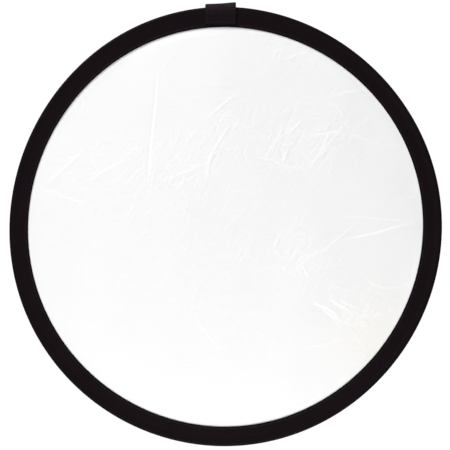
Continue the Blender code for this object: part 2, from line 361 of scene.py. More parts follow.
band_depths = np.array(band_loop())[:, 0]
for span in FOLD_SPANS:
    name, sign, (near, far), _, _, end = span
    runs = span_runs(span)
    replaced = [f"band_side_{far}"] if end is None else [f"band_top_{far}", f"band_bottom_{far}"]
    if near == "centre":
        runs[0] = ((JOINT_X + sign * BAND_END_GAP / 2, 0), runs[0][1])
        replaced.append(f"band_end_{name.split('_')[0]}")
    if name == CENTRE_SPAN:
        replaced.append("band_bottom_centre")
    band = skin_along_hoop(f"steel_band_{name}", runs, band_depths, band_spots, spring_steel, BAND_STEP)
    bend(band, span)
    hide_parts(*replaced)

zinc = Finish("plated_sleeve", Metallic=1.0)
place = zinc.place()
spangle = zinc.noise(place, 700, 3)
zinc.drive("Base Color", zinc.between(spangle, (0.42, 0.43, 0.42), (0.7, 0.71, 0.69)))
zinc.drive("Roughness", 0.3 + spangle * 0.25)
zinc.bump(spangle, 0.00005)
dress("joint_sleeve", zinc)

soft_tube = Finish("black_chafe_tube", Metallic=0.0)
place = soft_tube.place()
grain = soft_tube.noise(place, 1500, 3)
soft_tube.drive("Base Color", soft_tube.between(grain, (0.014, 0.014, 0.015), (0.035, 0.034, 0.034)))
soft_tube.drive("Roughness", 0.55 + grain * 0.25)
soft_tube.bump(grain, 0.00006)
dress("chafe_tube", soft_tube)


# ---------------------------------------------------------------------------
# White face cloth: a round cut of plain taffeta, stretched by the hoop. It is put
# away twisted into three coils, which presses sharp marks into it that never quite
# pull out. It is cut into six panels, one for each fold line of the hoop.
# ---------------------------------------------------------------------------
# Pressed marks: how far each stands up as a ridge (below 0 for a valley), how far the cloth to
# the left of its route is lifted, its width, and its route in millimetres from the panel's middle.
PRESSED_MARKS = (
    (-0.12, -0.02, 1.3, ((-101, 37), (-97, 100), (-92, 144), (-87, 200))),
    (0.12, -0.02, 1.3, ((-85, 56), (-64, 65), (-24, 80))),
    (-0.09, 0.01, 1.2, ((-83, 50), (-55, 60), (-30, 71))),
    (0.10, -0.02, 1.2, ((-29, 131), (-9, 150), (6, 163), (21, 170))),
    (-0.07, 0.01, 1.1, ((-22, 126), (-6, 139), (10, 156))),
    (0.14, 0.01, 1.2, ((-25, 50), (-18, 91), (-5, 111), (8, 133))),
    (0.13, -0.03, 1.3, ((-228, 56), (-204, 78), (-182, 99))),
    (0.12, -0.02, 1.3, ((-179, 56), (-160, 69), (-141, 80), (-127, 86))),
    (-0.12, -0.02, 1.3, ((-236, 49), (-219, 47), (-201, 38), (-178, 30))),
    (0.07, 0.01, 1.2, ((-234, 19), (-223, 38))),
    (0.07, -0.01, 1.2, ((-112, -16), (-94, 1))),
    (0.06, -0.01, 1.1, ((4, 4), (19, 14))),
    (-0.14, -0.03, 1.2, ((31, 91), (56, 88), (66, 82), (106, 73))),
    (0.08, -0.03, 1.2, ((58, 88), (69, 117), (77, 135))),
    (0.10, -0.04, 1.1, ((69, 114), (87, 125), (100, 138))),
    (0.09, -0.04, 1.2, ((106, 72), (123, 96), (136, 127))),
    (0.09, -0.03, 1.1, ((121, 86), (133, 107), (154, 130))),
    (-0.07, 0.01, 1.1, ((112, 70), (125, 84), (141, 108))),
    (0.06, -0.16, 1.2, ((103, 116), (139, 122), (180, 113), (205, 105), (246, 90))),
    (0.05, 0.04, 1.1, ((131, 163), (146, 152), (160, 130))),
    (0.06, -0.06, 1.1, ((133, 166), (154, 173), (187, 178))),
    (0.09, -0.01, 1.2, ((139, 163), (159, 153))),
    (0.10, -0.01, 1.3, ((77, 212), (92, 220), (113, 226))),
    (0.14, -0.02, 1.6, ((28, 246), (57, 248), (83, 242), (102, 231))),
    (-0.04, -0.14, 1.3, ((225, 41), (244, 37))),
    (0.09, -0.06, 1.3, ((144, 13), (172, 13), (205, 10), (246, 6))),
    (0.05, -0.08, 1.1, ((85, -60), (110, -37), (128, -30), (154, -7), (175, 13))),
    (0.05, -0.16, 1.3, ((147, -17), (168, -13), (190, -9), (218, 0), (246, 5))),
    (0.14, 0.00, 1.1, ((92, -48), (98, -62), (101, -50), (107, -64), (111, -54))),
    (0.10, 0.01, 1.1, ((70, -10), (64, -26), (72, -40), (84, -42))),
    (0.10, 0.05, 1.6, ((184, -66), (192, -75), (206, -79), (225, -77), (242, -73))),
    (0.07, 0.16, 1.5, ((133, -92), (142, -98), (151, -104), (162, -108))),
    (0.11, -0.03, 1.5, ((156, -106), (166, -110), (177, -113), (193, -114), (212, -110))),
    (0.06, 0.18, 1.5, ((111, -97), (128, -104), (138, -110), (146, -118))),
    (0.11, -0.03, 1.6, ((140, -113), (150, -121), (160, -125), (172, -125), (186, -121))),
    (0.06, 0.12, 1.2, ((124, -106), (133, -112), (146, -121))),
    (0.06, 0.10, 1.2, ((146, -93), (158, -100), (170, -104))),
    (0.09, -0.04, 1.4, ((102, -155), (122, -153), (142, -147), (164, -142))),
    (-0.10, 0.02, 1.2, ((166, -143), (180, -158))),
    (0.14, -0.03, 1.4, ((143, -206), (154, -195), (163, -188))),
    (-0.10, 0.02, 1.2, ((-40, -118), (-24, -138), (-5, -162))),
    (0.08, -0.01, 1.2, ((13, -125), (43, -103))),
    (0.07, 0.01, 1.2, ((35, -129), (50, -138))),
)
# Crumpled patches: middle, spread and how many short marks lie in each.
CRUMPLED_PATCHES = (
    ((85, 105), 46, 130), ((145, 125), 34, 85), ((165, -112), 36, 120), ((102, -45), 36, 120),
    ((-150, 60), 56, 110), ((-75, 62), 50, 110), ((0, 125), 46, 90), ((-10, -130), 70, 60),
    ((70, 225), 40, 30), ((-20, 10), 130, 430),
)
# Headings of the short marks in degrees, how loosely they keep to them, and the share of each.
MARK_HEADINGS = ((58, 12, 0.62), (8, 16, 0.2), (-48, 14, 0.18))
MILLI = 0.001
RIDGE_DEPTH = 3.2
STEP_DEPTH = 3.0
# A mark this high counts as fully pressed where the cloth's colour follows it: a painted highlight along
# the marks on the face, and a worn coating on the reverse.
DEEP_MARK = 0.0006


def short_marks(seed):
    """Small marks strewn over the crumpled patches, most of them along the hoop's twist."""
    chance = np.random.default_rng(seed)
    headings = np.array(MARK_HEADINGS)
    marks = []
    for (x, z), spread, count in CRUMPLED_PATCHES:
        for _ in range(count):
            middle = chance.normal((x, z), spread * 0.55)
            usual, loose, _ = headings[chance.choice(len(headings), p=headings[:, 2])]
            heading = math.radians(chance.normal(usual, loose))
            reach = chance.uniform(4, 16)
            turn = chance.normal(0, 0.2)
            points = [middle - reach * np.array((math.cos(heading), math.sin(heading))), middle,
                      middle + reach * np.array((math.cos(heading + turn), math.sin(heading + turn)))]
            rise = chance.choice((-1, 1)) * chance.uniform(0.016, 0.062)
            marks.append((rise, chance.normal(0, 0.003), chance.uniform(0.85, 1.1), points))
    return marks


def beside_route(px, pz, route):
    """How far points lie from a route, how far to its left, and the share of it that is behind them."""
    lengths = np.linalg.norm(np.diff(route, axis=0), axis=1)
    best = np.full(px.shape, np.inf)
    across = np.zeros(px.shape)
    along = np.zeros(px.shape)
    walked = 0.0
    for (ax, az), (bx, bz), length in zip(route, route[1:], lengths):
        ux, uz = (bx - ax) / length, (bz - az) / length
        run = np.clip((px - ax) * ux + (pz - az) * uz, 0, length)
        gap = np.hypot(px - ax - run * ux, pz - az - run * uz)
        closer = gap < best
        best = np.where(closer, gap, best)
        across = np.where(closer, (px - ax) * -uz + (pz - az) * ux, across)
        along = np.where(closer, walked + run, along)
        walked += length
    return best, across, along / walked


def press_marks(x, z, marks):
    """Height that the marks raise at each point, and how near each point is to a mark."""
    height = np.zeros_like(x)
    nearness = np.zeros_like(x)
    for ridge_rise, step_rise, width, route in marks:
        route = np.array(route, float) * MILLI
        ridge_rise *= RIDGE_DEPTH * MILLI
        step_rise *= STEP_DEPTH * MILLI
        width *= MILLI
        skirt = 12 * width
        low, high = route.min(0) - skirt, route.max(0) + skirt
        near = (x > low[0]) & (x < high[0]) & (z > low[1]) & (z < high[1])
        if not near.any():
            continue
        best, across, share = beside_route(x[near], z[near], route)
        taper = np.clip(np.minimum(share, 1 - share) * 4, 0, 1) ** 0.8
        ridge = np.exp(-(best / width) ** 1.5) * taper
        step = np.tanh(across / (0.8 * width)) * np.exp(-best / (6 * width)) * taper
        height[near] += ridge_rise * ridge + step_rise * step
        depth = min(1, (abs(ridge_rise) + abs(step_rise)) / DEEP_MARK)
        nearness[near] = np.maximum(nearness[near], depth * np.exp(-(best / width) ** 2) * taper)
    return height, nearness


def crumpling(x, z):
    """How crumpled the cloth is at each point, from 0 to 1."""
    total = np.full_like(x, 0.12)
    for (mx, mz), spread, count in CRUMPLED_PATCHES:
        gap = np.hypot(x - mx * MILLI, z - mz * MILLI) / (spread * MILLI)
        total += min(1, count * 40 / spread ** 2) * np.exp(-0.5 * gap ** 2)
    return np.clip(total, 0, 1)


def broad_waves(x, z, seed, size):
    """Slow swells of the cloth, as a few crossing waves of different lengths."""
    chance = np.random.default_rng(seed)
    total = np.zeros_like(x)
    for _ in range(9):
        length = chance.uniform(0.07, 0.26)
        heading = chance.uniform(0, math.pi)
        start = chance.uniform(0, 2 * math.pi)
        reach = (x * math.cos(heading) + z * math.sin(heading)) * 2 * math.pi / length
        total += size * length * np.sin(reach + start)
    return total


def rim_puckers(x, z, seed, edge, size):
    """Small tucks that run in from the hem's seam and die out within a few centimetres."""
    chance = np.random.default_rng(seed)
    angle = np.arctan2(x, z)
    radius = np.hypot(x, z)
    total = np.zeros_like(x)
    for count in (61, 83, 97, 131):
        start = chance.uniform(0, 2 * math.pi)
        total += np.cos(count * angle + start + 3 * np.sin(5 * angle + start))
    strength = 0.5 + 0.5 * np.sin(3 * angle + chance.uniform(0, 6)) * np.cos(2 * angle)
    inward = np.clip(edge - radius, 0, None)
    return size * total * strength * np.exp(-inward / 0.016)


CLOTH_EDGE = 0.0115
HEM_WIDTH = 0.0252
CLOTH_STAND = 0.0006
BILLOW = 0.0013
PUCKER = 0.00005
# The share of a mark's height that is left where the hem holds the cloth.
HELD_SHARE = 0.3
# How far in from the seam the cloth's waves have come to their full height.
CALM_MARGIN = 0.012
# How far a point may sink behind the cloth's own plane before it would meet the other cloth.
DEEPEST = -0.00042
# Gaps between columns: in the inner and middle panels, and in the outer ones.
COLUMNS = (0.00085, 0.0011)
ROWS = 590


def cloth_grid(marks, seed, stand, columns_apart, rows, wave_size):
    """The whole cloth as columns of points.

    It gives places, normals, nearness to marks, how crumpled each point is, and the columns' x.
    """
    lines = sorted({round(edge, 9) for span in FOLD_SPANS for edge in span[4:] if edge is not None})
    right = HOOP_RADIUS - CLOTH_EDGE - 0.004
    stops = sorted({-right, right, *lines, *(-line for line in lines)})
    columns = [stops[0]]
    for low, high in zip(stops, stops[1:]):
        steps = round((high - low) / columns_apart[high == right or low == -right])
        columns += [low + (high - low) * (i + 1) / steps for i in range(steps)]
    x = np.repeat(np.array(columns)[:, None], rows, 1)
    reach = np.zeros_like(x[:, 0])
    for i, across in enumerate(columns):
        reach[i] = math.sqrt((HOOP_RADIUS - CLOTH_EDGE) ** 2 - across ** 2)
    z = reach[:, None] * np.linspace(-1, 1, rows)[None, :]
    angle = np.arctan2(x, z)
    stretch = (hoop_radius(angle) - CLOTH_EDGE) / (HOOP_RADIUS - CLOTH_EDGE)
    seam = hoop_radius(angle) - HEM_WIDTH
    radius = np.hypot(x, z) * stretch
    pressed, nearness = press_marks(x, z, marks)
    crumpled = crumpling(x, z)
    inside = 1 - smooth_step(radius, seam - CALM_MARGIN, seam - 0.001)
    billow = BILLOW * np.clip(1 - (radius / seam) ** 2, 0, 1)
    loose = pressed + broad_waves(x, z, seed + 1, wave_size)
    loose = loose * inside + pressed * (1 - inside) * HELD_SHARE * (radius < seam + 0.004)
    unheld = 1 - smooth_step(radius, seam - 0.003, seam + 0.001)
    tucks = rim_puckers(x, z, seed + 2, seam, PUCKER) * unheld
    height = np.maximum(billow + loose + tucks, DEEPEST)
    side = math.copysign(1, stand)
    spots = np.stack([x, stand + side * height, z * stretch + MIDDLE_Z], -1)
    normal = np.cross(np.gradient(spots, axis=0), np.gradient(spots, axis=1))
    normal *= side * np.sign(normal[..., 1:2])
    normal /= np.linalg.norm(normal, axis=-1, keepdims=True)
    return spots, normal, nearness, crumpled, np.array(columns)


def lay_cloth(name, grid, finish, node, back):
    """Cut the cloth's grid at the middles of the strips; each panel's flat area and size are worked out
    but not used.
    """
    spots, normals, nearness, crumpled, columns = grid
    whole = columns[-1]
    for span in FOLD_SPANS:
        place, sign, (_, far), _, start, end = span
        low, high = sorted((start, sign * whole if end is None else end))
        picked = np.where((columns > low - 1e-6) & (columns < high + 1e-6))[0]
        part = spots[picked]
        faces = grid_faces(len(picked), part.shape[1], flip=not back)
        layers = {"pressed": nearness[picked], "crumpled": crumpled[picked]}
        piece = mesh_of(f"{name}_{place}", part.reshape(-1, 3), faces, normals[picked].reshape(-1, 3),
                        finish, layers)
        bend(piece, span)
        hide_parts(f"{node}_{far}", *([f"{node}_centre"] if place == CENTRE_SPAN else []))
        flat = part * (1, 0, 1)
        area = abs(np.cross(flat[1:, :-1] - flat[:-1, :-1], flat[:-1, 1:] - flat[:-1, :-1])[..., 1]).sum()
        size = (high - low, float(np.ptp(part[..., 2])))
        min(float(area), size[0] * size[1])


def fine_crumple(finish, place):
    """Grooves between small facets drawn out along the twist, only where the cloth is crumpled."""
    total = 0.0
    for turn, cells, width in ((58, 95, 0.16), (50, 150, 0.2), (-42, 80, 0.1)):
        turning = {"Vector": place, "Rotation": (0, math.radians(turn), 0), "Scale": (0.35, 1, 1)}
        turned = finish.node("ShaderNodeMapping", {}, turning)
        inputs = {"Vector": turned, "Scale": cells, "Randomness": 1.0}
        settings = {"feature": "DISTANCE_TO_EDGE"}
        edge = finish.node("ShaderNodeTexVoronoi", settings, inputs, output="Distance")
        groove = edge.maths("MINIMUM", width)
        broken = finish.noise(turned, cells * 0.35, 2)
        total = groove * (broken - 0.45).maths("MULTIPLY", 5.0, clamp=True) + total
    return total * finish.attribute("crumpled")


WHITE_WARP = (0.815, 0.818, 0.824)
WHITE_WEFT = (0.890, 0.889, 0.889)
# The colour of a painted highlight along the pressed marks.
CREASE_HIGHLIGHT_WHITE = (0.985, 0.98, 0.955)
AGED_WHITE = (0.86, 0.82, 0.70)
taffeta = Finish("white_taffeta", Metallic=0.0, Sheen_Weight=0.25, Sheen_Roughness=0.35, IOR=1.45)
place = taffeta.place()
across, up = taffeta.axis(place, "X"), taffeta.axis(place, "Z")
slub = taffeta.noise(place, 260, 3, 0.6, (0.08, 1, 1))
warp, weft = taffeta.wave(across, 0.00042), taffeta.wave(up, 0.00038)
weave = warp * 0.5 + weft * 0.5
clouds = taffeta.noise(place, 9, 3)
marks = taffeta.attribute("pressed")
white = taffeta.between(weave * 0.35 + clouds * 0.4 + slub * 0.25, WHITE_WARP, WHITE_WEFT)
# Painted highlight: along the pressed marks the white is mixed toward a brighter, yellowish white.
crease_highlighted = taffeta.between(marks * 0.33, white, CREASE_HIGHLIGHT_WHITE)
# The lower right has yellowed a little.
corner_x, corner_z = across - 0.2, up - (MIDDLE_Z - 0.15)
corner = (corner_x * corner_x + corner_z * corner_z).maths("SQRT") * 9.0
yellowing = (1 - corner).maths("MULTIPLY", clouds * 0.5, clamp=True)
taffeta.drive("Base Color", taffeta.between(yellowing, crease_highlighted, AGED_WHITE))
taffeta.drive("Roughness", 0.42 + slub * 0.14 + marks * 0.1)
taffeta.bump(weave * 0.00002 + slub * 0.00002 + fine_crumple(taffeta, place) * 0.0005, 1.0)

# How high the broad waves stand for their length, on this cloth and on the reverse.
FACE_WAVES = 0.0012
REVERSE_WAVES = 0.0014
face_marks = PRESSED_MARKS + tuple(short_marks(5))
face = cloth_grid(face_marks, 11, -CLOTH_STAND, COLUMNS, ROWS, FACE_WAVES)
lay_cloth("face_panel", face, taffeta, "face_cloth", back=False)


# ---------------------------------------------------------------------------
# Reverse cloth: a second round cut, of silver-coated taffeta, pressed by the same
# folding. The coating is thin and wears to a duller grey along the marks.
# ---------------------------------------------------------------------------
SILVER_BRIGHT = (0.78, 0.79, 0.81)
SILVER_DULL = (0.50, 0.51, 0.53)
lame = Finish("silver_coated_taffeta", Metallic=0.85, IOR=1.5)
place = lame.place()
across, up = lame.axis(place, "X"), lame.axis(place, "Z")
weave = lame.wave(across, 0.00042) * 0.5 + lame.wave(up, 0.00038) * 0.5
clouds = lame.noise(place, 14, 4)
marks = lame.attribute("pressed")
worn = (clouds * 0.5 + weave * 0.2 + marks * 0.35).maths("MULTIPLY", 1.0, clamp=True)
lame.drive("Base Color", lame.between(worn, SILVER_BRIGHT, SILVER_DULL))
lame.drive("Roughness", 0.38 + worn * 0.16)
lame.bump(weave, 0.00004)

REVERSE_COLUMNS = (0.0018, 0.0018)
REVERSE_ROWS = 270
# The long marks go through both cloths, so a ridge on the face is a valley here.
pressed_through = tuple((-0.9 * ridge, -step, 1.3 * width, route)
                        for ridge, step, width, route in PRESSED_MARKS)
reverse_marks = pressed_through + tuple(short_marks(8))
reverse = cloth_grid(reverse_marks, 23, CLOTH_STAND, REVERSE_COLUMNS, REVERSE_ROWS, REVERSE_WAVES)
lay_cloth("reverse_panel", reverse, lame, "reverse_cloth", back=True)


# ---------------------------------------------------------------------------
# Hem: 50 mm black polyester binding folded in two over the hoop and over the edges
# of both cloths. The fold stands round over the steel, and its inner edges are drawn
# into small tucks by the seam, because they lie on a shorter circle.
# ---------------------------------------------------------------------------
# How the hem's width varies round the hoop, in the same terms as the hoop's waves.
WIDTH_WAVES = ((2, 0.0007, -7.6), (3, 0.0005, -10.0))
NOSE_RADIUS = 0.0033
LEG_OUTER = 0.0016
TAPE_THICKNESS = 0.0007
TAPER_END = 0.0109
SEAM_INSET = 0.003
SEAM_HALF_WIDTH = 0.0009
SEAM_DEPTH = 0.00022
TUCK_HEIGHT = 0.00042
# Depths from the hem's outer edge between which the tucks grow to their full height.
TUCK_START, TUCK_END = 0.006, 0.020
# How far the tape's cut edge is rounded over.
LIP = 0.0003
HEM_STEP = 0.0026
TAB_X = sum(corner[0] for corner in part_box("tab_strap")) / 2
# The hem stands out over the sleeve and tube, and comes back to its own thickness beside them.
JOINT_SWELL = 0.0014
SWELL_HALF, SWELL_END = 0.013, 0.020
SWELL_DEPTH = 0.006


def hem_width(angle):
    """The hem's width from its outer edge to the tape's inner edges."""
    return HEM_WIDTH + round_waves(angle, WIDTH_WAVES)


def hem_loop():
    """The folded tape's section as (share of width from the outer edge, side, skin).

    skin is 1 on the outside of the tape and 0 on the inside. The loop starts at the
    outer edge, goes in along the front leg, and comes back round inside the fold.
    """
    nose = NOSE_RADIUS / HEM_WIDTH
    curve = [nose * (1 - math.cos(turn)) for turn in np.linspace(0, math.pi / 2, 9)]
    taper = list(np.linspace(nose, TAPER_END / HEM_WIDTH, 9)[1:])
    seam = 1 - SEAM_INSET / HEM_WIDTH
    spread = 2.2 * SEAM_HALF_WIDTH / HEM_WIDTH
    leg = list(np.linspace(taper[-1], seam - spread, 6)[1:])
    seam_line = list(np.linspace(seam - spread, seam + spread, 9)[1:])
    outside = curve + taper + leg + seam_line + [0.975, 0.992, 1.0]
    inside = [1.0, 0.985, 0.94, 0.85, 0.7, 0.55, TAPER_END / HEM_WIDTH, 0.33, 0.24,
              nose, nose * 0.7, nose * 0.45, nose * 0.3]
    front = [(share, -1, 1) for share in outside] + [(share, -1, 0) for share in inside]
    back = [(share, 1, skin) for share, _, skin in reversed(front)]
    return front + back[:-1]


def leg_thickness(depth, nose):
    """Half the hem's thickness at a depth from its outer edge."""
    round_part = np.sqrt(np.clip(nose ** 2 - (nose - np.minimum(depth, nose)) ** 2, 0, None))
    flat_part = nose + (LEG_OUTER - nose) * smooth_step(depth, nose, TAPER_END)
    return np.where(depth < nose, round_part, flat_part)


def tape_tucks(angle, seed):
    """Uneven tucks along the tape: 0 to 1, with some stretches nearly smooth."""
    chance = np.random.default_rng(seed)
    total = np.zeros_like(angle)
    for count in (97, 139, 173, 211, 263):
        start = chance.uniform(0, 2 * math.pi)
        wander = 2.5 * np.sin(7 * angle + start) + 1.5 * np.sin(17 * angle - start)
        total += np.sin(count * angle + start + wander)
    calm = 0.55 + 0.45 * np.sin(4 * angle + chance.uniform(0, 6)) * np.sin(9 * angle)
    return np.clip(0.5 + total * 0.2, 0, 1) * calm


def hem_points(angle, share, side, skin):
    """Where points of the tape lie: arrays of angle along the hoop and of place in the loop."""
    edge = hoop_radius(angle)
    depth = share * hem_width(angle)
    x = (edge - depth) * np.sin(angle)
    swell = JOINT_SWELL * (1 - smooth_step(abs(x - TAB_X), SWELL_HALF, SWELL_END)) * (np.cos(angle) > 0)
    outer = leg_thickness(depth, NOSE_RADIUS + swell)
    seam = depth - (hem_width(angle) - SEAM_INSET)
    grown = smooth_step(depth, TUCK_START, TUCK_END)
    tucks = np.where(side < 0, tape_tucks(angle, 3), tape_tucks(angle, 4)) * grown * TUCK_HEIGHT
    groove = SEAM_DEPTH * np.exp(-(seam / (0.6 * SEAM_HALF_WIDTH)) ** 2)
    lip = LIP * smooth_step(share, 0.985, 1.0)
    outside = outer + tucks - groove - lip
    inside = np.maximum(outer + tucks - TAPE_THICKNESS, 0.0) + lip
    inside = np.where(depth < NOSE_RADIUS, inside * 0.9, inside)
    y = side * np.where(skin > 0.5, outside, inside)
    under_fold = np.where((skin < 0.5) & (depth < NOSE_RADIUS), TAPE_THICKNESS * 0.3, 0.0)
    radius = edge - depth - under_fold + swell * (1 - smooth_step(depth, 0.0, SWELL_DEPTH))
    return np.stack([radius * np.sin(angle), y, radius * np.cos(angle) + MIDDLE_Z], -1)


BINDING_DARK = (0.0030, 0.0014, 0.0022)
BINDING_WORN = (0.0080, 0.0038, 0.0060)
binding = Finish("black_polyester_binding", Metallic=0.0, Specular_IOR_Level=0.07, IOR=1.45)
place = binding.place()
rib = binding.wave(binding.attribute("along"), 0.0011)
pick = binding.wave(binding.attribute("inward"), 0.0006)
lint = binding.noise(place, 380, 4, 0.65)
fade = binding.noise(place, 16, 3)
binding.drive("Base Color", binding.between(lint * 0.5 + fade * 0.5, BINDING_DARK, BINDING_WORN))
binding.drive("Roughness", 0.50 + lint * 0.2 + rib * 0.05)
binding.bump(rib * 0.6 + pick * 0.25 + lint * 0.3, 0.00009)

shares, sides, skins = (np.array(column, float)[None, :] for column in zip(*hem_loop()))


def hem_spots(angles):
    """Points of the folded tape's section at each angle."""
    return hem_points(angles, shares, sides, skins)


for span in FOLD_SPANS:
    runs = span_runs(span)
    piece = skin_along_hoop(f"hem_{span[0]}", runs, shares[0] * HEM_WIDTH, hem_spots, binding, HEM_STEP)
    bend(piece, span)
    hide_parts(*span_nodes(span, "hem"))


# ---------------------------------------------------------------------------
# Hem seam: a row of lockstitches in black thread, 3 mm in from the tape's inner
# edges, through both legs and both cloths. Each stitch is pulled into the tape.
# ---------------------------------------------------------------------------
STITCH_LENGTH = 0.0027
STITCH_PITCH = 0.0033
THREAD_WIDTH = 0.00055
# The share of its width by which a stitch's middle stands off the tape.
THREAD_STAND = 0.2
SEAM_STEP = 0.004

thread = Finish("black_thread", Metallic=0.0, Specular_IOR_Level=0.3, IOR=1.45)
place = thread.place()
ply = thread.noise(place, 2600, 2, 0.6)
thread.drive("Base Color", thread.between(ply, (0.006, 0.0045, 0.0055), (0.020, 0.016, 0.018)))
thread.drive("Roughness", 0.45 + ply * 0.2)
thread.bump(ply, 0.00008)


def stitch_tree():
    """Geometry Nodes: one thread stitch on every pitch along a line of edges."""
    tree = bpy.data.node_groups.new("lockstitch_row", "GeometryNodeTree")
    face = tree.interface
    face.new_socket("Line", in_out="INPUT", socket_type="NodeSocketGeometry")
    sizes = {}
    for name in ("Pitch", "Length", "Width"):
        sizes[name] = face.new_socket(name, in_out="INPUT", socket_type="NodeSocketFloat")
    face.new_socket("Thread", in_out="INPUT", socket_type="NodeSocketMaterial")
    face.new_socket("Stitches", in_out="OUTPUT", socket_type="NodeSocketGeometry")
    node, link = tree.nodes.new, tree.links.new
    given, result = node("NodeGroupInput"), node("NodeGroupOutput")
    curve = node("GeometryNodeMeshToCurve")
    spaced = node("GeometryNodeResampleCurve")
    spaced.mode = "LENGTH"
    bead = node("GeometryNodeMeshUVSphere")
    bead.inputs["Segments"].default_value = 7
    bead.inputs["Rings"].default_value = 5
    bead.inputs["Radius"].default_value = 0.5
    tangent = node("GeometryNodeInputTangent")
    turned = node("FunctionNodeAlignRotationToVector")
    turned.axis = "Z"
    long_way = node("ShaderNodeCombineXYZ")
    placed = node("GeometryNodeInstanceOnPoints")
    real = node("GeometryNodeRealizeInstances")
    finish = node("GeometryNodeSetMaterial")
    smooth = node("GeometryNodeSetShadeSmooth")
    link(given.outputs["Line"], curve.inputs["Mesh"])
    link(curve.outputs["Curve"], spaced.inputs["Curve"])
    link(given.outputs["Pitch"], spaced.inputs["Length"])
    link(spaced.outputs["Curve"], placed.inputs["Points"])
    link(bead.outputs["Mesh"], placed.inputs["Instance"])
    link(tangent.outputs["Tangent"], turned.inputs["Vector"])
    link(turned.outputs["Rotation"], placed.inputs["Rotation"])
    link(given.outputs["Width"], long_way.inputs["X"])
    link(given.outputs["Width"], long_way.inputs["Y"])
    link(given.outputs["Length"], long_way.inputs["Z"])
    link(long_way.outputs["Vector"], placed.inputs["Scale"])
    link(placed.outputs["Instances"], real.inputs["Geometry"])
    link(real.outputs["Geometry"], smooth.inputs["Geometry"])
    link(smooth.outputs["Geometry"], finish.inputs["Geometry"])
    link(given.outputs["Thread"], finish.inputs["Material"])
    link(finish.outputs["Geometry"], result.inputs["Stitches"])
    return tree


LOCKSTITCH = stitch_tree()


def sew(name, lines):
    """Stitches along lines of points, as one plain mesh."""
    mesh = bpy.data.meshes.new(f"{name}_line")
    points, edges = [], []
    for line in lines:
        start = len(points)
        points += [tuple(spot) for spot in line]
        edges += [(start + i, start + i + 1) for i in range(len(line) - 1)]
    mesh.from_pydata(points, edges, [])
    guide = bpy.data.objects.new(f"{name}_line", mesh)
    bpy.context.collection.objects.link(guide)
    modifier = guide.modifiers.new("stitches", "NODES")
    modifier.node_group = LOCKSTITCH
    sockets = {item.name: item.identifier for item in LOCKSTITCH.interface.items_tree}
    modifier[sockets["Pitch"]] = STITCH_PITCH
    modifier[sockets["Length"]] = STITCH_LENGTH
    modifier[sockets["Width"]] = THREAD_WIDTH
    modifier[sockets["Thread"]] = thread.material
    evaluated = guide.evaluated_get(bpy.context.evaluated_depsgraph_get())
    sewn = bpy.data.objects.new(name, bpy.data.meshes.new_from_object(evaluated))
    bpy.context.collection.objects.link(sewn)
    bpy.data.objects.remove(guide, do_unlink=True)
    return sewn


seam_share = 1 - SEAM_INSET / HEM_WIDTH
for span in FOLD_SPANS:
    lines = []
    for first, last in span_runs(span):
        angles = run_angles(first, last, [seam_share * HEM_WIDTH], SEAM_STEP)[:, 0]
        every = np.ones_like(angles)
        for side in (-1, 1):
            line = hem_points(angles, seam_share * every, side * every, every)
            line[:, 1] += side * THREAD_WIDTH * THREAD_STAND
            lines.append(line)
    seam = sew(f"hem_seam_{span[0]}", lines)
    bend(seam, span)
    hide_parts(*span_nodes(span, "hem_thread"))


# ---------------------------------------------------------------------------
# Strap tab: a length of 40 mm black polypropylene webbing, folded over the hem where
# the hoop's ends meet and sewn down both sides. It stands a little off the hem's edge.
# ---------------------------------------------------------------------------
TAB_LOW, TAB_HIGH = (Vector(corner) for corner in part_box("tab_strap"))
TAB_SLOPE = math.tan(math.radians(3.6))
TAB_THICKNESS = 0.0012
TAB_LEG = TAB_HIGH.y - 0.0026
TAB_NOSE = TAB_HIGH.y - 0.0004
TAB_BOTTOM = TAB_LOW.z
SELVAGE = 0.0016
WEB_PITCH = 0.0019
# How far below the hem's edge the strap starts to lift off its legs' plane, and has done so.
LIFT_START, LIFT_END = 0.0125, 0.0045
SHOULDER_SHARE = 0.62
# The strap's edges are rounded off, with a shallow groove beside each selvage.
EDGE_THINNING, EDGE_WIDTH = 0.00045, 0.0006
GROOVE_DEPTH, GROOVE_WIDTH = 0.00016, 0.0004
# Only the strap's top slopes and dips in the middle.
SLOPED_TOP = 0.012
TOP_DIP = 0.00035


def strap_path():
    """The strap's outer line over the hem as (y, z), front leg up and back leg down."""
    edge = hoop_radius(0.0) + MIDDLE_Z
    crown = TAB_HIGH.z - (TAB_HIGH.x - TAB_LOW.x) / 2 * TAB_SLOPE
    shoulder = crown - TAB_HIGH.y * SHOULDER_SHARE
    front = []
    for share in np.linspace(0, 1, 26):
        z = TAB_BOTTOM + (shoulder - TAB_BOTTOM) * share
        lifted = smooth_step(z, edge - LIFT_START, edge - LIFT_END)
        front.append((-(TAB_LEG + (TAB_NOSE - TAB_LEG) * lifted), z))
    over = [(-TAB_NOSE * math.cos(turn), shoulder + (crown - shoulder) * math.sin(turn))
            for turn in np.linspace(0, math.pi / 2, 15)[1:]]
    half = front + over
    return half + [(-y, z) for y, z in reversed(half[:-1])]


